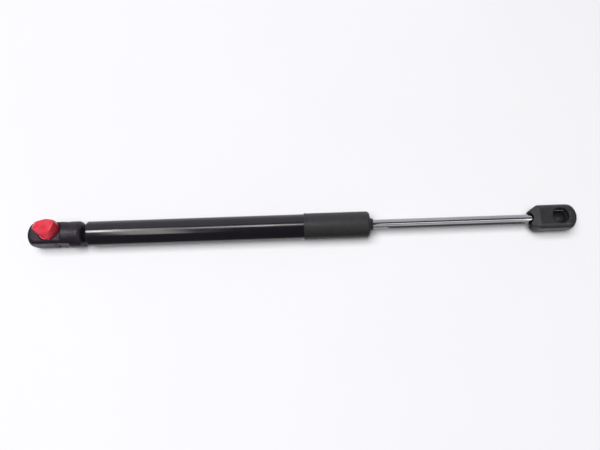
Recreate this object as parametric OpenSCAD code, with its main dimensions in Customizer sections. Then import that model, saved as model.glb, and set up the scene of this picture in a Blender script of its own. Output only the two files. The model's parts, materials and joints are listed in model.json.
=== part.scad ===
// Gas strut stay with two ball sockets, one carrying a transport plug.
// Frame: origin at the tube fitting's ball centre, +X along the strut to the rod fitting, +Z out of the socket mouths.
// Rest pose: fully extended.

/* [Strut] */
// Travel of the piston rod
stroke = 130; // [100:5:150]
// Length of the pressure tube beyond the stroke
tube_reserve = 119; // [100:1:130]
// Gap between the rod fitting and the wiper with the rod pushed right in
closed_gap = 8.2; // [3:0.1:12]
// Outside diameter of the pressure tube
tube_d = 22; // [21.8:0.1:22.4]
// Wall thickness of the pressure tube
tube_wall = 1.5; // [1.3:0.1:1.6]
// Diameter of the piston rod
rod_d = 8; // [7.8:0.1:8.2]

/* [Sleeve] */
// Outside diameter of the protective sleeve
sleeve_d = 23.2; // [23.2:0.1:25]
// Length of the protective sleeve
sleeve_length = 57.5; // [45:0.5:70]
// Radius that rounds the sleeve's front edge
sleeve_round = 3.2; // [2:0.1:3.4]

/* [Ball sockets] */
// Diameter of the ball the sockets take
ball_d = 13; // [12.8:0.1:13.1]
// Diametral play of the ball in its socket
ball_play = 0.1; // [0.04:0.02:0.18]
// Diameter of the socket's mouth above the ball seat
mouth_d = 13.8; // [13.6:0.1:14.2]
// Width of the chamfer round the socket's mouth
mouth_chamfer = 0.9; // [0.4:0.1:1.2]

/* [Tube fitting] */
// Diameter of the fitting's round shank
shank_d = 23; // [22.6:0.1:23.6]
// Distance from the ball centre to the fitting's shank face
shank_length = 30; // [29:0.5:32]
// Diameter of the head before its flats are cut
bar_d = 24.2; // [24:0.1:24.8]
// Distance across the side flats
side_flats = 19.6; // [19.2:0.1:20]
// Height across the top and bottom flats
head_flats = 19; // [18.6:0.1:19.6]
// Distance from the ball centre to the head's outer end
head_reach = 19.2; // [18.6:0.1:19.8]
// Radius of the shank's rounded shoulder
shoulder_round = 5.2; // [3:0.1:5.6]

/* [Rod fitting] */
// Width of the rod fitting
rod_head_w = 21.6; // [21:0.1:22]
// Thickness of the rod fitting
rod_head_t = 17.4; // [17:0.1:18]
// Distance from the ball centre to the nose face
nose_reach = 25; // [24.6:0.1:25.4]
// Distance from the ball centre to the outer end
end_reach = 15.4; // [14.8:0.1:16]
// Width of the nose's open end
nose_w = 14.2; // [13.8:0.1:14.6]
// Height of the nose's open end
nose_t = 8; // [7.6:0.1:8.6]

/* [Retaining clips] */
// Diameter of the clip wire
wire_d = 1.4; // [1.2:0.1:1.4]
// Travel that takes the clip clear of the ball
clip_travel = 2; // [1.8:0.1:2.2]

/* [Transport plug] */
// Height of the plug's head above the fitting
plug_head_h = 10; // [8:0.1:12]
// Length of the plug's head along the strut
plug_head_l = 24.4; // [22:0.1:24.6]
// Width of the plug's head across the strut
plug_head_w = 18; // [16:0.1:19]

/* [Hidden] */
$fn = 96;

eps = 0.01;
fit_play = 0.05; // radial play of a running or seated fit
shaft_play = 0.02; // radial play of the rod in its guide
face_gap = 0.05; // axial gap between stacked pieces

tube_r = tube_d / 2;
bore_r = tube_r - tube_wall;
rod_r = rod_d / 2;
tube_start = shank_length;
tube_end = tube_start + stroke + tube_reserve;
wiper_tip = tube_end + 4.8;
centre_distance = wiper_tip + closed_gap + stroke + nose_reach;

// pressure tube
base_thickness = 6;
base_face_r = tube_r - 3.5;
base_chamfer = 4;
lip_r = 7.6;
lip_thickness = 1.7;
crimp_chamfer = 2.4;
snap_groove_depth = 0.6;
snap_groove_start = tube_end - 25.5;
snap_groove_end = tube_end - 23.8;

// stud
stud_r = 4;
stud_flange_r = 7.8;
stud_flange_t = 2.4;
stud_reach = 16.4;
thread_hole_depth = 17;

// gland stack, listed from the crimped lip inwards
guide_front = tube_end + 0.5;
guide_shoulder = tube_end - lip_thickness - face_gap;
guide_back = tube_end - 15;
guide_nose_r = lip_r - 0.1;
wiper_seat_r = 6.65;
wiper_seat_depth = 1.75;
o_ring_groove_start = tube_end - 11;
o_ring_groove_w = 2.6;
o_ring_groove_r = bore_r - 2.15;
o_ring_section_r = 1;
seal_back = tube_end - 21.2;
washer_t = 2.4;
ring_axial_play = 0.1;
bumper_front = snap_groove_start - 0.1;
bumper_back = bumper_front - 8.4;

// wiper
wiper_rim_r = 5.75;
wiper_tip_r = 4.8;
wiper_step = tube_end + 2.6;

// sleeve
sleeve_r = sleeve_d / 2;
sleeve_bore_r = tube_r + 0.1;
sleeve_front = tube_end + 1.7;
sleeve_face_t = 1.1;
sleeve_hole_r = 6;
sleeve_seat_r = 8.35; // the bore narrows along the tube's crimp to this radius
sleeve_start = sleeve_front - sleeve_length;
sleeve_lip_h = 0.25;
sleeve_lip_w = 1.6;

// piston, measured back from its front face
piston_front = bumper_back - 0.3;
front_washer_t = 1.6;
piston_t = 7.15;
piston_r = bore_r - 0.25;
ring_groove_start = 2.2;
ring_groove_w = 3.2;
ring_groove_r = bore_r - 2.1;
rear_washer_t = 1.5;
nut_t = 4;
nut_flats = 10;
spigot_r = 3;
spigot_play = 0.03;
piston_orifice_r = 0.7;
piston_orifice_at = 5;
body_back = piston_front - front_washer_t - face_gap - piston_t;
nut_front = body_back - rear_washer_t - 2 * face_gap;
spigot_end = nut_front - nut_t - 1;
rod_end = centre_distance - 9.8;

// ball sockets
seat_r = (ball_d + ball_play) / 2;
seat_wall = 3.3;
mouth_r = mouth_d / 2;

// clips, in the frame of their own ball centre
wire_r = wire_d / 2;
clip_inner = 5;
clip_x = clip_inner + wire_r;
clip_z = seat_wall + 0.1 + wire_r;
clip_foot_z = -5;
clip_hook = 1.6;
slot_play = 0.1;
slot_end = clip_x + wire_r + clip_travel + slot_play;
slot_top = clip_z + wire_r + slot_play;

// tube fitting
shank_r = shank_d / 2;
bar_r = bar_d / 2;
head_dome_r = 15.3;
head_flat_end = 12.4;
side_flat_end = 18.4;
tube_leg_y = side_flats / 2 - 0.1 - wire_r;

// rod fitting
rod_head_edge = 3;
rod_head_dome_r = 14.1;
nose_l = 6.1;
funnel_r = 6.2;
funnel_depth = 7.1;
rod_hole_end = -9.4;
loop_x = 5.3;
loop_outer_y = rod_head_w / 2 + 0.4 - wire_r;

// plug
plug_seat = head_flats / 2 + face_gap;
plug_collar_r = mouth_r - 0.2;
plug_tip_r = clip_inner - 0.4;
plug_tip_z = seat_wall + 0.3;
plug_collar_z = clip_z + wire_r + 0.5;
plug_head_y = 1;
plug_corner = 5;
plug_wall_h = 3;
plug_slope = 4;

// turns a profile of (radius, x) about the strut's axis
module turned() {
  rotate([0, 90, 0]) rotate_extrude() children();
}

module ring(x0, x1, outer_r, inner_r) {
  turned() translate([inner_r, x0]) square([outer_r - inner_r, x1 - x0]);
}

// extrudes a (y, z) section along X from x0 to x1
module along_x(x0, x1) {
  translate([x0, 0, 0]) rotate([90, 0, 90]) linear_extrude(x1 - x0) children();
}

module round_rect(w, h, r) {
  square([w - 2 * r, h], center = true);
  square([w, h - 2 * r], center = true);
  for (sx = [-1, 1]) {
    for (sy = [-1, 1]) {
      translate([sx * (w / 2 - r), sy * (h / 2 - r)]) circle(r);
    }
  }
}

// round bar of radius r from x0 to x1, its end at x0 domed to the same radius
module domed(x0, x1, r) {
  translate([x0 + r, 0, 0]) rotate([0, 90, 0]) {
    sphere(r);
    cylinder(h = x1 - x0 - r, r = r);
  }
}

// rod fitting's outline: opens from its narrow nose to full width
module bullet(nose_half, half_w) {
  nose_end = nose_l - nose_reach;
  polygon([
    [-nose_reach, -nose_half],
    [nose_end, -half_w],
    [end_reach, -half_w],
    [end_reach, half_w],
    [nose_end, half_w],
    [-nose_reach, nose_half]
  ]);
}

// seat and chamfered mouth, cut from a fitting about its ball centre
module socket_cuts(top) {
  sphere(seat_r);
  cylinder(h = seat_wall, r = seat_r);
  translate([0, 0, seat_wall]) cylinder(h = top, r = mouth_r);
  translate([0, 0, top - mouth_chamfer]) cylinder(h = mouth_chamfer + eps, r1 = mouth_r, r2 = mouth_r + mouth_chamfer + eps);
}

// slot across the mouth for the bail's bar, with a groove down each side and a pocket for each hook
module bail_cuts(half_w, leg_y) {
  x0 = clip_inner - slot_play;
  slot_w = slot_end - x0;
  groove_y = leg_y - wire_r - slot_play;
  groove_bottom = clip_foot_z - wire_r - slot_play;
  hook_top = clip_foot_z + wire_r + slot_play;
  translate([x0, -half_w - 1, seat_wall]) cube([slot_w, 2 * half_w + 2, slot_top - seat_wall]);
  for (s = [0, 1]) {
    mirror([0, s, 0]) {
      translate([x0, groove_y, groove_bottom]) cube([slot_w, half_w + 1 - groove_y, slot_top - groove_bottom]);
      translate([x0, groove_y - clip_hook, groove_bottom]) cube([slot_w, clip_hook + eps, hook_top - groove_bottom]);
    }
  }
}

// round wire between two points, with round ends
module wire(a, b) {
  d = b - a;
  translate(a) sphere(wire_r, $fn = 32);
  translate(b) sphere(wire_r, $fn = 32);
  translate(a) rotate([0, acos(d[2] / norm(d)), atan2(d[1], d[0])]) cylinder(h = norm(d), r = wire_r, $fn = 32);
}

module pressure_tube() {
  color("#17181a") turned() polygon([
    [stud_r, tube_start],
    [base_face_r, tube_start],
    [tube_r, tube_start + base_chamfer],
    [tube_r, tube_end - crimp_chamfer],
    [tube_r - crimp_chamfer + 0.2, tube_end],
    [lip_r, tube_end],
    [lip_r, tube_end - lip_thickness],
    [bore_r, tube_end - lip_thickness],
    [bore_r, snap_groove_end],
    [bore_r + snap_groove_depth, snap_groove_end],
    [bore_r + snap_groove_depth, snap_groove_start],
    [bore_r, snap_groove_start],
    [bore_r, tube_start + base_thickness + 1.5],
    [bore_r - 1.5, tube_start + base_thickness],
    [stud_r, tube_start + base_thickness]
  ]);
}

module base_stud() {
  flange_x = tube_start + base_thickness + face_gap;
  color("#9aa0a6") {
    ring(tube_start - stud_reach, flange_x, stud_r - fit_play / 2, 0);
    ring(flange_x, flange_x + stud_flange_t, stud_flange_r, 0);
  }
}

// tube fitting's outline: two flats from the end, open past them
module head_outline(flat_end, half) {
  translate([-head_reach, -half]) square([head_reach + flat_end, 2 * half]);
  translate([flat_end, -bar_d]) square([shank_length + 1, 2 * bar_d]);
}

module tube_fitting() {
  straight_end = shank_length - shoulder_round;
  face_r = shank_r - shoulder_round;
  side = side_flats / 2;
  top = head_flats / 2;
  color("#202024") difference() {
    intersection() {
      turned() {
        polygon([
          [0, -head_reach],
          [bar_r, -head_reach],
          [bar_r, head_flat_end],
          [shank_r, side_flat_end],
          [shank_r, straight_end],
          [face_r, straight_end],
          [face_r, shank_length],
          [0, shank_length]
        ]);
        translate([face_r, straight_end]) circle(shoulder_round);
      }
      translate([0, 0, -bar_d]) linear_extrude(2 * bar_d) head_outline(side_flat_end, side);
      rotate([90, 0, 0]) linear_extrude(2 * bar_d, center = true) head_outline(head_flat_end, top);
      domed(-head_reach, shank_length + 1, head_dome_r);
    }
    socket_cuts(top);
    bail_cuts(side, tube_leg_y);
    ring(shank_length - thread_hole_depth, shank_length + 1, stud_r, 0);
  }
}

// wire bail: a bar across the mouth, a leg down each side, a hook inwards
module tube_clip() {
  color("#55585c") {
    wire([clip_x, tube_leg_y, clip_z], [clip_x, -tube_leg_y, clip_z]);
    for (s = [-1, 1]) {
      wire([clip_x, s * tube_leg_y, clip_z], [clip_x, s * tube_leg_y, clip_foot_z]);
      wire([clip_x, s * tube_leg_y, clip_foot_z], [clip_x, s * (tube_leg_y - clip_hook), clip_foot_z]);
    }
  }
}

// half profile mirrored about its middle: upright wall, then a slope to the top
module plug_profile(half, slope) {
  polygon([
    [-half, 0],
    [half, 0],
    [half, plug_wall_h],
    [half - slope, plug_head_h],
    [slope - half, plug_head_h],
    [-half, plug_wall_h]
  ]);
}

module transport_plug() {
  half_l = plug_head_l / 2;
  half_w = plug_head_w / 2;
  color("#d8283c") {
    translate([0, 0, plug_tip_z]) cylinder(h = plug_collar_z - plug_tip_z + eps, r = plug_tip_r);
    translate([0, 0, plug_collar_z]) cylinder(h = plug_seat - plug_collar_z + eps, r = plug_collar_r);
    translate([0, plug_head_y, plug_seat]) intersection() {
      linear_extrude(plug_head_h) polygon([
        [-half_l, plug_corner - half_w],
        [plug_corner - half_l, -half_w],
        [half_l - plug_corner, -half_w],
        [half_l, plug_corner - half_w],
        [half_l, half_w - plug_corner],
        [half_l - plug_corner, half_w],
        [plug_corner - half_l, half_w],
        [-half_l, half_w - plug_corner]
      ]);
      rotate([90, 0, 0]) linear_extrude(plug_head_l, center = true) plug_profile(half_l, plug_slope);
      rotate([90, 0, 90]) linear_extrude(plug_head_l, center = true) plug_profile(half_w, plug_slope);
    }
  }
}

module protective_sleeve() {
  round_x = sleeve_front - sleeve_round;
  round_r = sleeve_r - sleeve_round;
  color("#2b2c2e") difference() {
    turned() {
      translate([0, sleeve_start]) square([sleeve_r, round_x - sleeve_start]);
      translate([0, round_x]) square([round_r, sleeve_round]);
      translate([round_r, round_x]) circle(sleeve_round);
      translate([0, sleeve_start]) square([sleeve_r + sleeve_lip_h, sleeve_lip_w]);
    }
    turned() polygon([
      [0, sleeve_start - 1],
      [sleeve_bore_r, sleeve_start - 1],
      [sleeve_bore_r, tube_end - crimp_chamfer],
      [sleeve_seat_r, sleeve_front - sleeve_face_t],
      [0, sleeve_front - sleeve_face_t]
    ]);
    ring(sleeve_front - sleeve_face_t - 1, sleeve_front + 1, sleeve_hole_r, 0);
  }
}

module rod_guide() {
  color("#b08d4f") turned() difference() {
    polygon([
      [rod_r + shaft_play, guide_back],
      [bore_r - fit_play, guide_back],
      [bore_r - fit_play, guide_shoulder],
      [guide_nose_r, guide_shoulder],
      [guide_nose_r, guide_front],
      [wiper_seat_r, guide_front],
      [wiper_seat_r, guide_front - wiper_seat_depth],
      [rod_r + shaft_play, guide_front - wiper_seat_depth]
    ]);
    translate([o_ring_groove_r, o_ring_groove_start]) square([bore_r, o_ring_groove_w]);
  }
}

module guide_o_ring() {
  ring_at = o_ring_groove_start + o_ring_groove_w / 2;
  color("#101010") turned() translate([o_ring_groove_r + fit_play + o_ring_section_r, ring_at]) circle(o_ring_section_r, $fn = 32);
}

module rod_wiper() {
  seat_x = guide_front - wiper_seat_depth + face_gap;
  color("#131313") turned() polygon([
    [rod_r + fit_play, seat_x],
    [wiper_seat_r - fit_play, seat_x],
    [wiper_seat_r - fit_play, guide_front],
    [wiper_rim_r, guide_front],
    [wiper_rim_r, wiper_step],
    [wiper_tip_r, wiper_tip],
    [rod_r + fit_play, wiper_tip]
  ]);
}

module rod_seal() {
  seal_front = guide_back - face_gap;
  color("#161616") turned() polygon([
    [rod_r + fit_play, seal_back],
    [rod_r + 1, seal_back],
    [rod_r + 2.6, seal_back + 3],
    [bore_r - 1.1, seal_back],
    [bore_r - fit_play, seal_back],
    [bore_r - fit_play, seal_front],
    [rod_r + 0.6, seal_front],
    [rod_r + fit_play, seal_front - 2]
  ]);
}

module seal_washer() {
  color("#8d9094") ring(seal_back - face_gap - washer_t, seal_back - face_gap, bore_r - 0.1, rod_r + 0.5);
}

module snap_ring() {
  x0 = snap_groove_start + ring_axial_play;
  x1 = snap_groove_end - ring_axial_play;
  color("#a4a8ac") difference() {
    ring(x0, x1, bore_r + snap_groove_depth - fit_play, bore_r - 1.1);
    translate([x0 - 1, -2, 0]) cube([x1 - x0 + 2, 4, bore_r + 2]);
  }
}

module stop_bumper() {
  color("#3a3a3a") turned() difference() {
    translate([rod_r + 0.6, bumper_back]) square([bore_r - 0.4 - rod_r - 0.6, bumper_front - bumper_back]);
    translate([bore_r - 1.2, bumper_back + 3]) square([2, 2.4]);
  }
}

module piston_ring() {
  x1 = piston_front - front_washer_t - face_gap - ring_groove_start - face_gap;
  color("#e6e2d6") ring(x1 - ring_groove_w + 2 * face_gap, x1, bore_r - 0.03, ring_groove_r + fit_play);
}

module piston_rod() {
  end_chamfer = 0.8;
  color("#d5d8dc") turned() polygon([
    [0, spigot_end],
    [spigot_r - 0.4, spigot_end],
    [spigot_r, spigot_end + 0.4],
    [spigot_r, piston_front],
    [rod_r, piston_front],
    [rod_r, rod_end - end_chamfer],
    [rod_r - end_chamfer, rod_end],
    [0, rod_end]
  ]);
}

module piston() {
  front = body_back + piston_t;
  color("#b9bcc0") difference() {
    ring(body_back, front, piston_r, spigot_r + spigot_play);
    ring(front - ring_groove_start - ring_groove_w, front - ring_groove_start, bore_r, ring_groove_r);
    translate([body_back - 1, piston_orifice_at, 0]) rotate([0, 90, 0]) cylinder(h = piston_t + 2, r = piston_orifice_r, $fn = 32);
  }
}

module piston_front_washer() {
  color("#8d9094") ring(piston_front - front_washer_t, piston_front, bore_r - 0.9, spigot_r + spigot_play);
}

module piston_rear_washer() {
  color("#8d9094") ring(nut_front + face_gap, body_back - face_gap, bore_r - 1.3, spigot_r + spigot_play);
}

module piston_nut() {
  color("#9ea2a6") translate([nut_front - nut_t, 0, 0]) rotate([0, 90, 0]) difference() {
    cylinder(h = nut_t, r = nut_flats / sqrt(3), $fn = 6);
    translate([0, 0, -1]) cylinder(h = nut_t + 2, r = spigot_r + spigot_play);
  }
}

module rod_fitting() {
  half_w = rod_head_w / 2;
  half_t = rod_head_t / 2;
  pocket_y = clip_inner - slot_play;
  color("#2c2d30") translate([centre_distance, 0, 0]) difference() {
    intersection() {
      along_x(-nose_reach, end_reach) round_rect(rod_head_w, rod_head_t, rod_head_edge);
      translate([0, 0, -rod_head_w]) linear_extrude(2 * rod_head_w) bullet(nose_w / 2, half_w);
      rotate([90, 0, 0]) linear_extrude(2 * rod_head_w, center = true) bullet(nose_t / 2, half_t);
      mirror([1, 0, 0]) domed(-end_reach, nose_reach, rod_head_dome_r);
    }
    socket_cuts(half_t);
    translate([-loop_x - wire_r - slot_play, pocket_y, seat_wall]) cube([2 * (loop_x + wire_r + slot_play), half_w, slot_top - seat_wall]);
    ring(-nose_reach - 1, rod_hole_end, rod_r + fit_play / 2, 0);
    turned() polygon([
      [0, -nose_reach - 1],
      [funnel_r, -nose_reach - 1],
      [funnel_r, -nose_reach],
      [rod_r, -nose_reach + funnel_depth],
      [0, -nose_reach + funnel_depth]
    ]);
  }
}

// wire loop, flat in its slot: one bar across the mouth, the other along the side face
module rod_clip() {
  color("#55585c") translate([centre_distance, 0, 0]) {
    wire([-loop_x, clip_x, clip_z], [loop_x, clip_x, clip_z]);
    wire([-loop_x, loop_outer_y, clip_z], [loop_x, loop_outer_y, clip_z]);
    for (s = [-1, 1]) {
      wire([s * loop_x, clip_x, clip_z], [s * loop_x, loop_outer_y, clip_z]);
    }
  }
}

pressure_tube();
base_stud();
tube_fitting();
tube_clip();
transport_plug();
protective_sleeve();
rod_guide();
guide_o_ring();
rod_wiper();
rod_seal();
seal_washer();
snap_ring();
stop_bumper();
piston_ring();
piston_rod();
piston();
piston_front_washer();
piston_rear_washer();
piston_nut();
rod_fitting();
rod_clip();
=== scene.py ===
import json
import math

import bmesh
import bpy
import numpy as np
from mathutils import Matrix, Vector


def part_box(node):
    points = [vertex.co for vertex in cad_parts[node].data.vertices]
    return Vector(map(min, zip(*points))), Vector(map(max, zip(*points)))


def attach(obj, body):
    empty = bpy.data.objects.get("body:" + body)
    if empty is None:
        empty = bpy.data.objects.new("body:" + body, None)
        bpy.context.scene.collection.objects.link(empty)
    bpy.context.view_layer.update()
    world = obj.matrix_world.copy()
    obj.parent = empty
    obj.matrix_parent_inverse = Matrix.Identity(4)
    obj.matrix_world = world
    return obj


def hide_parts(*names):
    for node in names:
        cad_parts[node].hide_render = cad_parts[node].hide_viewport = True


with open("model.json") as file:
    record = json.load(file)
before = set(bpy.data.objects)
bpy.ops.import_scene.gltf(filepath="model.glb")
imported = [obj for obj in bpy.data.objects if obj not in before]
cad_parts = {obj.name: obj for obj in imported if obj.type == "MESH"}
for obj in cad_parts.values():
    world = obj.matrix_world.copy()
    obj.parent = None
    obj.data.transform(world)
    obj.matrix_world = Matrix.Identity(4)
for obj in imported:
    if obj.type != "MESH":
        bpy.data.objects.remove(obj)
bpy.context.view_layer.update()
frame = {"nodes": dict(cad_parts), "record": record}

MM = 0.001


# ---------------------------------------------------------------- sizes in mm, taken from the frame

def node_box(name):
    lo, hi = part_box(name)
    return [v / MM for v in lo], [v / MM for v in hi]


tube_lo, tube_hi = node_box("pressure_tube")
sleeve_lo, sleeve_hi = node_box("protective_sleeve")
wiper_lo, wiper_hi = node_box("rod_wiper")
rod_lo, rod_hi = node_box("piston_rod")
head_lo, head_hi = node_box("tube_fitting")
end_lo, end_hi = node_box("rod_fitting")
plug_bottom = node_box("transport_plug")[0][2]
bail_lo, bail_hi = node_box("tube_clip")
loop_lo, loop_hi = node_box("rod_clip")
rod_shoulder = node_box("piston_front_washer")[1][0]
mounts = {m["name"]: m for m in frame["record"]["mounts"]}

TUBE_R = tube_hi[1]
ROD_R = rod_hi[1]
ROD_BALL_X = mounts["rod_ball_socket"]["pos_m"][0] / MM
SEAT_R = mounts["tube_ball_socket"]["dims"]["r_mm"]
SEAT_WALL = mounts["tube_ball_socket"]["dims"]["length_mm"]


# ---------------------------------------------------------------- mesh builders, all in mm

SMOOTH_DEG = 40.0       # edges that turn by more than this stay sharp
CUT_SMOOTH_DEG = 35.0
SKIN_SMOOTH_DEG = 50.0
SKIN_STEP = 0.45        # spacing of a skin's rings along its axis
DENSE_STEP = 0.07       # and close to where flats begin and end
DENSE_HALF = 1.0
SKIN_REACH = 30.0       # beyond any skin's surface, measured from its axis
HALVINGS = 36


def add_object(name, data):
    obj = bpy.data.objects.new(name, data)
    bpy.context.scene.collection.objects.link(obj)
    return obj


def make_mesh(name, verts, faces, smooth_deg=SMOOTH_DEG):
    """A smooth-shaded closed mesh from points in mm, with its faces turned outward."""
    mesh = bpy.data.meshes.new(name)
    points = [tuple(float(c) * MM for c in v) for v in verts]
    mesh.from_pydata(points, [], [tuple(int(i) for i in f) for f in faces])
    mesh.update()
    mesh.validate()
    mesh.shade_smooth()
    mesh.set_sharp_from_angle(angle=math.radians(smooth_deg))
    bm = bmesh.new()
    bm.from_mesh(mesh)
    bmesh.ops.recalc_face_normals(bm, faces=bm.faces)
    bm.to_mesh(mesh)
    bm.free()
    return add_object(name, mesh)


def fillet_path(corners, steps=6, support=0.12):
    """Rounds an open polyline of (u, v, radius) corners, with a support point either side of each arc."""
    pts = [np.array(corner[:2], float) for corner in corners]
    out = [pts[0]]
    for a, b, c, corner in zip(pts, pts[1:], pts[2:], corners[1:]):
        u, v = a - b, c - b
        lu, lv = np.linalg.norm(u), np.linalg.norm(v)
        u, v = u / lu, v / lv
        turn = math.acos(max(-1.0, min(1.0, float(-(u @ v)))))
        r = corner[2]
        if r <= 0 or turn < 0.02:
            out.append(b)
            continue
        cut_back = min(r * math.tan(turn / 2), 0.49 * lu, 0.49 * lv)
        r = cut_back / math.tan(turn / 2)
        start, end = b + u * cut_back, b + v * cut_back
        centre = b + (u + v) / np.linalg.norm(u + v) * (r / math.cos(turn / 2))
        if support < lu - cut_back:
            out.append(start + u * min(support, 0.4 * (lu - cut_back)))
        for k in range(steps + 1):
            ang = turn * k / steps
            arm = math.sin(turn - ang) * (start - centre) + math.sin(ang) * (end - centre)
            out.append(centre + arm / math.sin(turn))
        if support < lv - cut_back:
            out.append(end + v * min(support, 0.4 * (lv - cut_back)))
    out.append(pts[-1])
    return out


def lathe(name, path, segments=128, axis="x", closed=False):
    """Turns (radius, along) points about X or Z. Points on the axis become poles."""
    verts, faces, rings = [], [], []
    for r, along in path:
        sides = 1 if r < 1e-6 else segments
        rings.append(list(range(len(verts), len(verts) + sides)))
        for k in range(sides):
            angle = 2 * math.pi * k / segments
            p, q = (0, 0) if sides == 1 else (r * math.cos(angle), r * math.sin(angle))
            verts.append((along, p, q) if axis == "x" else (p, q, along))
    pairs = list(zip(rings, rings[1:]))
    if closed:
        pairs.append((rings[-1], rings[0]))
    for a, b in pairs:
        for k in range(segments):
            n = (k + 1) % segments
            if len(a) == 1:
                faces.append((a[0], b[n], b[k]))
            elif len(b) == 1:
                faces.append((a[k], a[n], b[0]))
            else:
                faces.append((a[k], a[n], b[n], b[k]))
    return make_mesh(name, verts, faces)


def box_cutter(lo, hi):
    corners = [(x, y, z) for x in (lo[0], hi[0]) for y in (lo[1], hi[1]) for z in (lo[2], hi[2])]
    sides = [(0, 1, 3, 2), (4, 6, 7, 5), (0, 4, 5, 1), (2, 3, 7, 6), (0, 2, 6, 4), (1, 5, 7, 3)]
    return make_mesh("cutter", corners, sides)


def cut(obj, cutters):
    """Subtracts closed cutters from obj and keeps the result as plain mesh."""
    for cutter in cutters:
        modifier = obj.modifiers.new("cut", "BOOLEAN")
        modifier.operation = "DIFFERENCE"
        modifier.solver = "EXACT"
        modifier.object = cutter
    bpy.context.view_layer.update()
    done = bpy.data.meshes.new_from_object(obj.evaluated_get(bpy.context.evaluated_depsgraph_get()))
    obj.modifiers.clear()
    obj.data = done
    for cutter in cutters:
        bpy.data.objects.remove(cutter, do_unlink=True)
    done.shade_smooth()
    done.set_sharp_from_angle(angle=math.radians(CUT_SMOOTH_DEG))


def smax(a, b, width):
    """The larger of a and b, blended over a width in mm where they cross."""
    h = np.maximum(width - np.abs(a - b), 0) / width
    return np.maximum(a, b) + h * h * width / 4


def smin(a, b, width):
    return -smax(-a, -b, width)


def spaced(x0, x1, dense_at):
    xs = set(np.round(np.arange(x0, x1 + SKIN_STEP / 2, SKIN_STEP), 4))
    for d in dense_at:
        xs |= set(np.round(np.arange(d - DENSE_HALF, d + DENSE_HALF, DENSE_STEP), 4))
    return sorted(x for x in xs if x0 - 1e-6 <= x <= x1 + 1e-6)


def skin(name, field, x0, x1, cap_rows, around, dense_at=()):
    """Wraps a mesh round field(x, y, z) = 0 with rays from the segment x0..x1 of the X axis."""
    cap = [math.pi / 2 * i / cap_rows for i in range(1, cap_rows)]
    rows = [(x0, math.pi - a) for a in cap]
    rows += [(x, math.pi / 2) for x in spaced(x0, x1, dense_at)]
    rows += [(x1, math.pi / 2 - a) for a in cap]
    base = np.array([r[0] for r in rows])[:, None]
    tilt = np.array([r[1] for r in rows])[:, None]
    turn = (np.arange(around) * 2 * math.pi / around)[None, :]
    dx, dy, dz = np.cos(tilt) + 0 * turn, np.sin(tilt) * np.cos(turn), np.sin(tilt) * np.sin(turn)

    def surface_at(bx, ax, ay, az):
        lo, hi = np.zeros_like(ax), np.full_like(ax, SKIN_REACH)
        for _ in range(HALVINGS):
            mid = (lo + hi) / 2
            inside = field(bx + ax * mid, ay * mid, az * mid) < 0
            lo, hi = np.where(inside, mid, lo), np.where(inside, hi, mid)
        t = (lo + hi) / 2
        return np.stack([bx + ax * t, ay * t, az * t], axis=-1)

    grid = surface_at(base, dx, dy, dz)
    nothing = np.zeros(2)
    poles = surface_at(np.array([x0, x1]), np.array([-1.0, 1.0]), nothing, nothing)
    verts = list(grid.reshape(-1, 3)) + list(poles)
    first, last = len(verts) - 2, len(verts) - 1
    end = (len(rows) - 1) * around
    faces = []
    for k in range(around):
        n = (k + 1) % around
        faces.append((first, k, n))
        for a in range(0, end, around):
            faces.append((a + k, a + around + k, a + around + n, a + n))
        faces.append((end + k, last, end + n))
    return make_mesh(name, verts, faces, SKIN_SMOOTH_DEG)


def sweep(name, path, radius, normal, closed=False, segments=20):
    """A round wire along (x, y, z) points that lie in a plane with the given normal."""
    pts = [np.array(p, float) for p in path]
    count = len(pts)
    verts, faces = [], []
    for i, p in enumerate(pts):
        a = pts[(i - 1) % count] if closed else pts[max(i - 1, 0)]
        b = pts[(i + 1) % count] if closed else pts[min(i + 1, count - 1)]
        across = np.cross((b - a) / np.linalg.norm(b - a), normal)
        for k in range(segments):
            ang = 2 * math.pi * k / segments
            verts.append(p + radius * (math.cos(ang) * np.array(normal) + math.sin(ang) * across))
    for i in range(count if closed else count - 1):
        j = (i + 1) % count
        for k in range(segments):
            n = (k + 1) % segments
            faces.append((i * segments + k, i * segments + n, j * segments + n, j * segments + k))
    if not closed:
        for base, tip in ((0, pts[0]), ((count - 1) * segments, pts[-1])):
            verts.append(tip)
            for k in range(segments):
                faces.append((base + k, len(verts) - 1, base + (k + 1) % segments))
    return make_mesh(name, verts, faces)


# ---------------------------------------------------------------- materials

NOISE_LO, NOISE_HI = 0.35, 0.65     # nearly all of the noise lies between these


def new_material(name):
    material = bpy.data.materials.new(name)
    material.use_nodes = True
    tree = material.node_tree
    return material, tree, tree.nodes["Principled BSDF"].inputs


def noise(tree, scale, detail=3.0, stretch=(1, 1, 1)):
    coord = tree.nodes.new("ShaderNodeTexCoord")
    mapping = tree.nodes.new("ShaderNodeMapping")
    mapping.inputs["Scale"].default_value = stretch
    tex = tree.nodes.new("ShaderNodeTexNoise")
    tex.inputs["Scale"].default_value = scale
    tex.inputs["Detail"].default_value = detail
    tex.inputs["Roughness"].default_value = 0.55
    tree.links.new(coord.outputs["Object"], mapping.inputs["Vector"])
    tree.links.new(mapping.outputs["Vector"], tex.inputs["Vector"])
    return tex.outputs["Fac"]


def ranged(tree, value, lo, hi):
    node = tree.nodes.new("ShaderNodeMapRange")
    node.inputs["From Min"].default_value = NOISE_LO
    node.inputs["From Max"].default_value = NOISE_HI
    node.inputs["To Min"].default_value = lo
    node.inputs["To Max"].default_value = hi
    tree.links.new(value, node.inputs["Value"])
    return node.outputs["Result"]


def mixed(tree, factor, a, b):
    node = tree.nodes.new("ShaderNodeMix")
    node.data_type = "RGBA"
    node.inputs["A"].default_value = (*a, 1)
    node.inputs["B"].default_value = (*b, 1)
    tree.links.new(factor, node.inputs["Factor"])
    return node.outputs["Result"]


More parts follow.
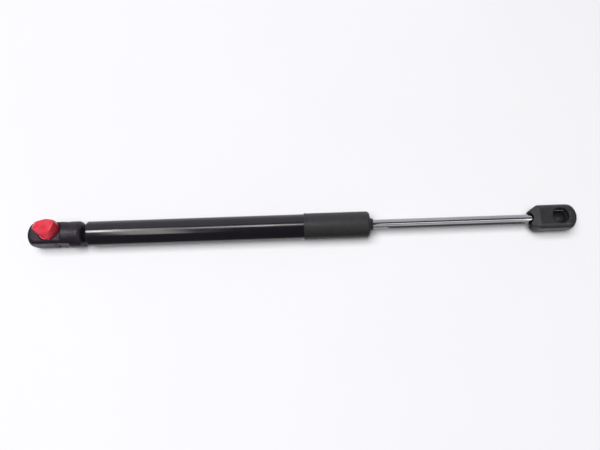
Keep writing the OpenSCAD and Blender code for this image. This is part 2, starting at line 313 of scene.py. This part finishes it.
def bump(tree, height, distance):
    node = tree.nodes.new("ShaderNodeBump")
    node.inputs["Strength"].default_value = 0.5
    node.inputs["Distance"].default_value = distance
    tree.links.new(height, node.inputs["Height"])
    return node.outputs["Normal"]


def surface(name, dark, light, rough, scale=300.0, stretch=(1, 1, 1), relief=0.01, grain=900.0, metallic=0.0,
            spec=0.5):
    """Procedural finish: colour from dark to light, roughness from rough[0] to rough[1], relief in mm."""
    material, tree, inputs = new_material(name)
    colour = mixed(tree, ranged(tree, noise(tree, scale, stretch=stretch), 0, 1), dark, light)
    gloss = ranged(tree, noise(tree, scale * 2.3, 4.0, stretch), *rough)
    normal = bump(tree, noise(tree, grain, 2.0), relief * MM)
    tree.links.new(colour, inputs["Base Color"])
    tree.links.new(gloss, inputs["Roughness"])
    tree.links.new(normal, inputs["Normal"])
    inputs["Metallic"].default_value = metallic
    inputs["IOR"].default_value = 1.5
    inputs["Specular IOR Level"].default_value = spec
    return material


# slot: dark colour, light colour, roughness from and to, scale of the variation, and what else sets it apart
FINISHES = {
    "tube_paint": ((0.0055, 0.0042, 0.0065), (0.008, 0.0066, 0.0095), (0.14, 0.2), 60,
                   {"stretch": (0.4, 1, 1), "relief": 0.006, "grain": 260}),
    "fitting_paint": ((0.012, 0.0074, 0.0145), (0.0175, 0.0112, 0.0205), (0.36, 0.46), 160,
                      {"relief": 0.012, "grain": 500, "spec": 0.32}),
    "sleeve_plastic": ((0.011, 0.0112, 0.0118), (0.016, 0.0162, 0.017), (0.42, 0.52), 200,
                       {"relief": 0.02, "grain": 1500}),
    "rod_fitting_plastic": ((0.02, 0.0202, 0.0216), (0.028, 0.0282, 0.0298), (0.36, 0.46), 240,
                            {"relief": 0.02, "grain": 1400, "spec": 0.38}),
    "plug_plastic": ((0.62, 0.028, 0.05), (0.76, 0.048, 0.08), (0.26, 0.38), 120,
                     {"relief": 0.06, "grain": 200, "spec": 0.4}),
    "rod_steel": ((0.38, 0.38, 0.385), (0.43, 0.43, 0.435), (0.05, 0.1), 90,
                  {"stretch": (0.3, 1, 1), "relief": 0.002, "grain": 700, "metallic": 1.0}),
    "spring_wire": ((0.1, 0.1, 0.105), (0.15, 0.15, 0.155), (0.3, 0.42), 500,
                    {"relief": 0.004, "metallic": 1.0}),
    "zinc_steel": ((0.5, 0.51, 0.53), (0.62, 0.63, 0.65), (0.25, 0.4), 300,
                   {"relief": 0.006, "metallic": 1.0}),
    "guide_brass": ((0.62, 0.43, 0.18), (0.72, 0.53, 0.26), (0.2, 0.34), 260,
                    {"relief": 0.004, "metallic": 1.0}),
    "black_rubber": ((0.012, 0.012, 0.012), (0.02, 0.02, 0.02), (0.6, 0.75), 400, {"relief": 0.02}),
    "bumper_rubber": ((0.035, 0.035, 0.035), (0.055, 0.055, 0.055), (0.6, 0.75), 400, {"relief": 0.02}),
    "ring_plastic": ((0.72, 0.7, 0.64), (0.82, 0.8, 0.74), (0.35, 0.5), 300, {"relief": 0.006}),
    "piston_metal": ((0.62, 0.63, 0.64), (0.72, 0.73, 0.74), (0.25, 0.38), 260,
                     {"relief": 0.005, "metallic": 1.0}),
}
finish = {slot: surface(slot, *values, **rest) for slot, (*values, rest) in FINISHES.items()}
slot_of = {s["node"]: s["material_slot"] for s in frame["record"]["subparts"]}


def dress(obj, slot_name, body):
    obj.data.materials.clear()
    obj.data.materials.append(finish[slot_name])
    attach(obj, body)


def stands_for(obj, node, body):
    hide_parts(node)
    dress(obj, slot_of[node], body)


for node_name, node_obj in frame["nodes"].items():
    for material_slot in node_obj.material_slots:
        material_slot.material = finish[slot_of[node_name]]


# ---------------------------------------------------------------- pressure tube

TUBE_WALL = 1.5
STUD_R = 4.0
BASE_T, BASE_CHAMFER, BASE_STEP, BASE_CORNER = 6.0, 4.0, 3.5, 1.5
CRIMP_L, CRIMP_DROP = 2.4, 2.2
LIP_R, LIP_T = 7.6, 1.7


def pressure_tube():
    start, end = tube_lo[0], tube_hi[0]
    bore_r = TUBE_R - TUBE_WALL
    outside = [(STUD_R, start, 0), (TUBE_R - BASE_STEP, start, 0.5), (TUBE_R, start + BASE_CHAMFER, 1.1),
               (TUBE_R, end - CRIMP_L, 1.6), (TUBE_R - CRIMP_DROP, end, 1.2)]
    inside = [(LIP_R, end, 0.3), (LIP_R, end - LIP_T, 0.3), (bore_r, end - LIP_T, 0),
              (bore_r, start + BASE_T + BASE_CORNER, 0.3), (bore_r - BASE_CORNER, start + BASE_T, 0.3),
              (STUD_R, start + BASE_T, 0)]
    return lathe("tube_enamelled", fillet_path(outside + inside, steps=8), 192, closed=True)


stands_for(pressure_tube(), "pressure_tube", "cylinder")


# ---------------------------------------------------------------- protective sleeve

SLEEVE_PLAY = 0.1
SLEEVE_LIP_H, SLEEVE_LIP_W = 0.25, 1.6
SLEEVE_ROUND = 3.2
SLEEVE_FACE_T, SLEEVE_HOLE_R = 1.1, 6.0
SLEEVE_SEAT_R = 8.35    # the bore narrows along the tube's crimp to this radius


def protective_sleeve():
    start, end, lip_r = sleeve_lo[0], sleeve_hi[0], sleeve_hi[1]
    bore_r, body_r = TUBE_R + SLEEVE_PLAY, lip_r - SLEEVE_LIP_H
    face = end - SLEEVE_FACE_T
    bore_mouth = [(bore_r, start + 0.5, 0), (bore_r, start + 0.15, 0), (bore_r + 0.15, start, 0.1)]
    lip = [(lip_r, start, 0.3), (lip_r, start + SLEEVE_LIP_W, 0.25),
           (body_r, start + SLEEVE_LIP_W + SLEEVE_LIP_H, 0.25)]
    front = [(body_r, end, SLEEVE_ROUND), (SLEEVE_HOLE_R, end, 0.25), (SLEEVE_HOLE_R, face, 0.1)]
    bore = [(SLEEVE_SEAT_R, face, 0.1), (bore_r, tube_hi[0] - CRIMP_L, 0.1), (bore_r, start + 0.5, 0)]
    path = fillet_path(bore_mouth + lip + front + bore, steps=10)
    return lathe("sleeve_moulded", path[:-1], 192, closed=True)


stands_for(protective_sleeve(), "protective_sleeve", "cylinder")


# ---------------------------------------------------------------- wiper and rod

WIPER_PLAY = 0.05
WIPER_SEAT_R, WIPER_SEAT_L = 6.6, 1.7
WIPER_RIM_R, WIPER_TIP_R, WIPER_TAPER_L = 5.75, 4.8, 2.2
ROD_NECK_R, NECK_CHAMFER, ROD_CHAMFER = 3.0, 0.4, 0.8


def rod_wiper():
    start, end = wiper_lo[0], wiper_hi[0]
    step = start + WIPER_SEAT_L
    path = fillet_path([
        (ROD_R + WIPER_PLAY, start, 0), (WIPER_SEAT_R, start, 0.2), (WIPER_SEAT_R, step, 0.2),
        (WIPER_RIM_R, step, 0.1), (WIPER_RIM_R, end - WIPER_TAPER_L, 0.5), (WIPER_TIP_R, end, 0.35),
        (ROD_R + 0.3, end, 0.1), (ROD_R + WIPER_PLAY, end - 0.6, 0)])
    return lathe("wiper_nose", path, closed=True)


def piston_rod():
    start, end = rod_lo[0], rod_hi[0]
    path = fillet_path([
        (0, start, 0), (ROD_NECK_R - NECK_CHAMFER, start, 0.1), (ROD_NECK_R, start + NECK_CHAMFER, 0.1),
        (ROD_NECK_R, rod_shoulder, 0.05), (ROD_R, rod_shoulder, 0.3), (ROD_R, end - ROD_CHAMFER, 0.2),
        (ROD_R - ROD_CHAMFER, end, 0.1), (0, end, 0)], steps=5)
    return lathe("rod_ground", path)


stands_for(rod_wiper(), "rod_wiper", "cylinder")
stands_for(piston_rod(), "piston_rod", "rod")


# ---------------------------------------------------------------- ball sockets and wire clips

PLAY = 0.1
WIRE_R = (bail_hi[0] - bail_lo[0]) / 2
CLIP_INNER = 5.0        # where the slot for either clip starts, from the socket's axis
CLIP_TRAVEL = 2.0
CLIP_Z = bail_hi[2] - WIRE_R
SLOT_TOP = CLIP_Z + WIRE_R + PLAY
WIRE_BEND = 1.1
MOUTH_R, MOUTH_CHAMFER = 6.9, 0.9
MOUTH_FLARE = 0.35      # the chamfer's upper edge, softened
ABOVE = 2.0             # how far a cutter stands out of the face that it cuts


def socket_cutter(top):
    """The ball seat with its chamfered mouth, whose rim lies at height top."""
    steps = 16
    angles = [-math.pi / 2 + math.pi / 2 * k / steps for k in range(1, steps + 1)]
    seat = [(0, -SEAT_R)] + [(SEAT_R * math.cos(a), SEAT_R * math.sin(a)) for a in angles]
    rim_r = MOUTH_R + MOUTH_CHAMFER
    mouth = fillet_path([
        (SEAT_R, 0, 0), (SEAT_R, SEAT_WALL, 0.1), (MOUTH_R, SEAT_WALL + 0.05, 0.1),
        (MOUTH_R, top - MOUTH_CHAMFER, 0.3), (rim_r, top, MOUTH_FLARE),
        (rim_r + MOUTH_FLARE, top + 0.12, 0.05), (rim_r + MOUTH_FLARE, top + ABOVE, 0)], steps=5)
    return lathe("cutter", seat + mouth[1:] + [(0, top + ABOVE)], axis="z")


# ---------------------------------------------------------------- tube fitting
# a round bar with a domed end and flats on four sides, then a round shank with a rounded shoulder

HEAD_REACH, SHANK_END = head_lo[0], head_hi[0]
HEAD_DOME_R = 15.3
BAR_R, SHANK_R, SHOULDER = head_hi[2], 11.5, 5.2
SIDE_FLAT, HEAD_FLAT = bail_hi[1] + PLAY, 9.5       # half the width over each pair of flats
SIDE_END, HEAD_END = 18.4, 12.4                     # where each pair of flats ends
STUD_HOLE_DEPTH = 17.0
BAIL_X, BAIL_Y = bail_lo[0] + WIRE_R, bail_hi[1] - WIRE_R
BAIL_FOOT_Z = bail_lo[2] + WIRE_R
HOOK = 1.6
NUDGE = 0.003           # keeps two cutters' faces from lying in one plane


def tube_fitting_field(x, y, z):
    r = np.sqrt(y * y + z * z)
    taper = np.clip((x - HEAD_END) / (SIDE_END - HEAD_END), 0, 1)
    bar = r - (BAR_R - (BAR_R - SHANK_R) * taper)
    past, out = x - (SHANK_END - SHOULDER), np.maximum(r - (SHANK_R - SHOULDER), 0)
    bar = np.where(past > 0, np.sqrt(np.maximum(past, 0) ** 2 + out * out) - SHOULDER, bar)
    dome = np.sqrt(np.minimum(x - (HEAD_REACH + HEAD_DOME_R), 0) ** 2 + r * r) - HEAD_DOME_R
    side = smin(np.abs(y) - SIDE_FLAT, SIDE_END - x, 0.8)
    head = smin(np.abs(z) - HEAD_FLAT, HEAD_END - x, 1.2)
    return smax(smax(smax(bar, side, 0.5), head, 0.9), dome, 1.6)


def bail_cutters():
    """The bail's slot across the mouth, its side grooves and the pockets for its hooks."""
    x0, x1 = CLIP_INNER - PLAY, BAIL_X + WIRE_R + CLIP_TRAVEL + PLAY
    beyond = SIDE_FLAT + 1
    groove_y = BAIL_Y - WIRE_R - PLAY
    bottom = BAIL_FOOT_Z - WIRE_R - PLAY
    cutters = [box_cutter((x0, -beyond, SEAT_WALL), (x1, beyond, SLOT_TOP))]
    for side in (-1, 1):
        ys = sorted((side * groove_y, side * beyond))
        cutters.append(box_cutter((x0 + NUDGE, ys[0], bottom), (x1 - NUDGE, ys[1], SLOT_TOP - NUDGE)))
        ys = sorted((side * (groove_y - HOOK), side * (groove_y + 0.05)))
        pocket_lo = (x0 + 2 * NUDGE, ys[0], bottom + NUDGE)
        cutters.append(box_cutter(pocket_lo, (x1 - 2 * NUDGE, ys[1], BAIL_FOOT_Z + WIRE_R + PLAY)))
    return cutters


def tube_fitting():
    obj = skin("tube_socket", tube_fitting_field, -9.0, 21.0, cap_rows=44, around=240,
               dense_at=(HEAD_END, SIDE_END))
    deep, out = SHANK_END - STUD_HOLE_DEPTH, SHANK_END + ABOVE
    stud_hole = lathe("cutter", [(0, deep), (STUD_R, deep), (STUD_R, out), (0, out)], 64)
    cut(obj, [socket_cutter(HEAD_FLAT)] + bail_cutters() + [stud_hole])
    return obj


stands_for(tube_fitting(), "tube_fitting", "cylinder")
bail_path = fillet_path([
    (-BAIL_Y + HOOK, BAIL_FOOT_Z, 0), (-BAIL_Y, BAIL_FOOT_Z, 0.9), (-BAIL_Y, CLIP_Z, WIRE_BEND),
    (BAIL_Y, CLIP_Z, WIRE_BEND), (BAIL_Y, BAIL_FOOT_Z, 0.9), (BAIL_Y - HOOK, BAIL_FOOT_Z, 0)],
    steps=8, support=0.2)
bail = sweep("tube_clip_bail", [(BAIL_X, y, z) for y, z in bail_path], WIRE_R, (1, 0, 0))
stands_for(bail, "tube_clip", "tube_clip_wire")


# ---------------------------------------------------------------- rod fitting
# a moulded block with rounded edges, a domed end and a faceted nose, built about its own ball centre

BLOCK_W, BLOCK_T = (end_hi[1] - end_lo[1]) / 2, (end_hi[2] - end_lo[2]) / 2
BLOCK_CORNER = 4.2
NOSE, BLOCK_END = end_lo[0] - ROD_BALL_X, end_hi[0] - ROD_BALL_X
ROD_DOME_R = 14.1
NOSE_HALF_W, NOSE_HALF_T, NOSE_L = 7.1, 4.0, 6.1
FUNNEL_R, FUNNEL_DEPTH = 6.2, 7.1
ROD_HOLE_PLAY = 0.03
ROD_HOLE_END = -9.4
LOOP_X = (loop_hi[0] - loop_lo[0]) / 2 - WIRE_R
LOOP_IN, LOOP_OUT = loop_lo[1] + WIRE_R, loop_hi[1] - WIRE_R


def rounded_box_2d(u, v, half_u, half_v, r):
    qu, qv = np.abs(u) - (half_u - r), np.abs(v) - (half_v - r)
    return np.sqrt(np.maximum(qu, 0) ** 2 + np.maximum(qv, 0) ** 2) + np.minimum(np.maximum(qu, qv), 0) - r


def rod_fitting_field(x, y, z):
    def bevel(across, half_nose, half_block):
        slope = (half_block - half_nose) / NOSE_L
        return (np.abs(across) - half_nose - (x - NOSE) * slope) / math.sqrt(1 + slope ** 2)

    section = rounded_box_2d(y, z, BLOCK_W, BLOCK_T, BLOCK_CORNER)
    past = np.maximum(x - (BLOCK_END - ROD_DOME_R), 0)
    dome = np.sqrt(past ** 2 + y * y + z * z) - ROD_DOME_R
    nose = smax(bevel(y, NOSE_HALF_W, BLOCK_W), bevel(z, NOSE_HALF_T, BLOCK_T), 0.5)
    return smax(smax(smax(section, dome, 1.8), nose, 0.7), NOSE - x, 0.2)


def nose_cutter():
    """The rod's hole and the funnel that leads into it."""
    hole_r = ROD_R + ROD_HOLE_PLAY
    slope = (FUNNEL_R - hole_r) / FUNNEL_DEPTH
    return lathe("cutter", fillet_path([
        (0, ROD_HOLE_END, 0), (hole_r, ROD_HOLE_END, 0), (hole_r, NOSE + FUNNEL_DEPTH, 0.3),
        (FUNNEL_R + ABOVE * slope, NOSE - ABOVE, 0), (0, NOSE - ABOVE, 0)], steps=5), 96)


def rod_fitting():
    obj = skin("rod_socket", rod_fitting_field, -17.0, 5.0, cap_rows=56, around=224)
    half = LOOP_X + WIRE_R + PLAY
    loop_slot = box_cutter((-half, CLIP_INNER - PLAY, SEAT_WALL), (half, BLOCK_W + ABOVE, SLOT_TOP))
    cut(obj, [socket_cutter(BLOCK_T), loop_slot, nose_cutter()])
    obj.data.transform(Matrix.Translation((ROD_BALL_X * MM, 0, 0)))
    return obj


stands_for(rod_fitting(), "rod_fitting", "rod")
loop_path = fillet_path([
    (0, LOOP_IN, 0), (LOOP_X, LOOP_IN, WIRE_BEND), (LOOP_X, LOOP_OUT, WIRE_BEND),
    (-LOOP_X, LOOP_OUT, WIRE_BEND), (-LOOP_X, LOOP_IN, WIRE_BEND), (0, LOOP_IN, 0)], steps=8, support=0.2)
loop_points = [(ROD_BALL_X + x, y, CLIP_Z) for x, y in loop_path[:-1]]
stands_for(sweep("rod_clip_loop", loop_points, WIRE_R, (0, 0, 1), closed=True), "rod_clip", "rod_clip_wire")


# ---------------------------------------------------------------- transport plug
# rings of corners (x, y, height) about the socket's axis, heights from the fitting's flat

PLUG_SEAT = 9.55
PLUG_FOOT = [
    (-11.9, 3.0, 0), (-8.6, -0.4, 0), (-4.6, -3.4, 0), (0.2, -6.2, 0), (3.4, -7.2, 0), (7.4, -4.2, 0),
    (11.0, 0.6, 0), (11.2, 4.6, 0), (8.8, 7.6, 0), (1.0, 9.0, 0), (-9.0, 7.4, 0)]
PLUG_WAIST = [
    (-12.1, 3.2, 3.2), (-8.8, -0.6, 2.8), (-4.8, -3.7, 2.4), (0.2, -6.6, 1.6), (3.6, -7.8, 2.0),
    (7.5, -3.6, 2.8), (10.2, 1.2, 3.4), (10.8, 4.8, 4.2), (9.2, 8.1, 5.0), (1.6, 9.6, 6.0), (-9.6, 8.0, 4.4)]
PLUG_CROWN = [
    (-8.6, 2.6, 7.4), (-6.2, -0.8, 7.0), (-3.0, -3.4, 6.8), (1.4, -3.4, 7.8), (4.6, -3.0, 8.8),
    (6.6, -1.8, 9.6), (8.5, 2.2, 9.9), (9.6, 5.4, 9.7), (8.0, 8.2, 9.5), (2.4, 9.0, 9.4), (-5.2, 7.6, 8.6)]
PLUG_PEAK = (1.6, 3.4, 8.9)
PLUG_EDGE = 0.55
STEM_TIP_R, STEM_R, STEM_STEP_Z = 4.6, 6.7, 5.4
STEM_TOP = PLUG_SEAT + 0.4


def plug_head():
    bm = bmesh.new()

    def corner(x, y, height):
        return bm.verts.new((x * MM, y * MM, (PLUG_SEAT + height) * MM))

    rings = [[corner(*point) for point in ring] for ring in (PLUG_FOOT, PLUG_WAIST, PLUG_CROWN)]
    count = len(PLUG_FOOT)
    for a, b in zip(rings, rings[1:]):
        for k in range(count):
            n = (k + 1) % count
            bm.faces.new((a[k], a[n], b[n], b[k]))
    peak = corner(*PLUG_PEAK)
    for k in range(count):
        bm.faces.new((rings[-1][k], rings[-1][(k + 1) % count], peak))
    bm.faces.new(list(reversed(rings[0])))
    bmesh.ops.recalc_face_normals(bm, faces=bm.faces)
    bmesh.ops.bevel(bm, geom=list(bm.edges), offset=PLUG_EDGE * MM, segments=3, profile=0.6, affect="EDGES",
                    clamp_overlap=True)
    mesh = bpy.data.meshes.new("plug_head")
    bm.to_mesh(mesh)
    bm.free()
    mesh.shade_smooth()
    return add_object("plug_head", mesh)


def plug_stem():
    return lathe("plug_stem", fillet_path([
        (0, plug_bottom, 0), (STEM_TIP_R, plug_bottom, 0.6), (STEM_TIP_R, STEM_STEP_Z, 0.2),
        (STEM_R, STEM_STEP_Z, 0.5), (STEM_R, STEM_TOP, 0), (0, STEM_TOP, 0)], steps=5), 64, axis="z")


stands_for(plug_head(), "transport_plug", "plug")
dress(plug_stem(), "plug_plastic", "plug")


# ---------------------------------------------------------------- stage, in metres

FLOOR_HALF = 3.0
FLOOR_Z = min(sleeve_lo[2], head_lo[2]) * MM - 0.00005
NEAR_Z = FLOOR_Z + 0.0002
NEAR_X = (-0.05, 0.3, 0.424, 0.49)
NEAR_FRONT, NEAR_BACK = -0.026, 0.012


def floor_material(name):
    material, tree, inputs = new_material(name)
    inputs["Roughness"].default_value = 0.85
    inputs["Specular IOR Level"].default_value = 0.0
    return material, tree, inputs["Base Color"]


def floor_piece(name, points, faces, material):
    mesh = bpy.data.meshes.new(name)
    mesh.from_pydata(points, [], faces)
    mesh.materials.append(material)
    obj = add_object(name, mesh)
    return obj


white, white_tree, white_colour = floor_material("floor_white")
white_mix = mixed(white_tree, ranged(white_tree, noise(white_tree, 3.0), 0, 1), (0.86, 0.862, 0.87),
                  (0.875, 0.877, 0.885))
white_tree.links.new(white_mix, white_colour)
floor_corners = [(x * FLOOR_HALF, y * FLOOR_HALF, FLOOR_Z) for x, y in ((-1, -1), (1, -1), (1, 1), (-1, 1))]
floor = floor_piece("floor", floor_corners, [(0, 1, 2, 3)], white)
floor.visible_glossy = False

# what the strut mirrors of the floor is the part near it, in its own shadow
# the rod mirrors none of the floor in front of it
shaded, _, shaded_colour = floor_material("floor_shaded")
# painted shade: this floor, seen only in reflections, is coloured a little darker than the white floor to
# dim what the strut mirrors
shaded_colour.default_value = (0.84, 0.83, 0.85, 1)
near_points = [(x, y, NEAR_Z) for x in NEAR_X for y in (NEAR_FRONT, NEAR_BACK)]
near_points += [(FLOOR_HALF, FLOOR_HALF, NEAR_Z), (-FLOOR_HALF, FLOOR_HALF, NEAR_Z)]
near = floor_piece("floor_near", near_points, [(0, 2, 3, 1), (4, 6, 7, 5), (1, 7, 8, 9)], shaded)
near.visible_camera = near.visible_diffuse = near.visible_shadow = near.visible_transmission = False


# ---------------------------------------------------------------- light

MIDDLE = (head_lo[0] + end_hi[0]) / 2 * MM
OVERHEAD = 0.62


def area_light(name, location, target, size, radiance, colour=(1, 1, 1)):
    data = bpy.data.lights.new(name, "AREA")
    data.shape = "RECTANGLE"
    data.size, data.size_y = size
    data.energy = radiance * math.pi * size[0] * size[1]
    data.color = colour
    obj = add_object(name, data)
    obj.location = location
    obj.rotation_euler = (Vector(location) - Vector(target)).to_track_quat("Z", "Y").to_euler()
    return obj


def card(name, location, target, size, radiance, colour=(1, 1, 1)):
    """A light that is only seen mirrored in the object."""
    area_light(name, location, target, size, radiance, colour).visible_diffuse = False


def card_above(name, x, y, size, radiance, height=OVERHEAD):
    card(name, (x, y, height), (x, y, 0.0), size, radiance)


fill = area_light("fill", (-0.6, 0.0, 3.4), (0.15, 0, 0), (2.6, 2.4), 7.3, (1, 0.99, 1.01))
fill.visible_glossy = False
card("back_card", (MIDDLE - 0.05, 1.2, 0.75), (MIDDLE, 0, 0), (3.6, 1.9), 0.75, (1, 0.93, 1.06))
card_above("strip_left", -0.182, 0.045, (0.064, 0.19), 24.0)
card_above("patch_left", -0.10, -0.165, (0.14, 0.66), 5.0, height=0.63)
card_above("strip_right", 0.12, 0.05, (0.25, 0.12), 8.0)
card_above("spot_right", 0.145, 0.05, (0.05, 0.10), 8.0, height=0.61)
card_above("rod_line", 0.545, -0.24, (0.33, 0.15), 2.1)
card("rod_front", (0.76, -0.9, 0.5), (0.38, 0, 0), (0.8, 0.9), 0.7)
card_above("fitting_line", 0.85, -0.33, (0.26, 0.3), 4.5)

world = bpy.data.worlds.new("studio")
bpy.context.scene.world = world
world.use_nodes = True
background = world.node_tree.nodes["Background"].inputs
background["Color"].default_value = (0.12, 0.118, 0.125, 1)
background["Strength"].default_value = 1.0


# ---------------------------------------------------------------- camera

ELEVATION = math.radians(72.5)
DISTANCE = 0.486
ROLL = math.radians(-1.95)
AIM = Vector((0.2197, 0.0016, 0.0))

camera_data = bpy.data.cameras.new("camera")
camera_data.sensor_width = 36.0
camera_data.lens = 33.0
camera_data.clip_start = 0.01
camera_data.clip_end = 20.0
camera = add_object("camera", camera_data)
away = Vector((0, -math.cos(ELEVATION), math.sin(ELEVATION)))
camera.location = AIM + away * DISTANCE
camera.rotation_mode = "QUATERNION"
camera.rotation_quaternion = (-away).to_track_quat("-Z", "Y") @ Matrix.Rotation(ROLL, 4, "Z").to_quaternion()
bpy.context.scene.camera = camera

bpy.context.scene.view_settings.view_transform = "Standard"
bpy.context.scene.view_settings.look = "None"
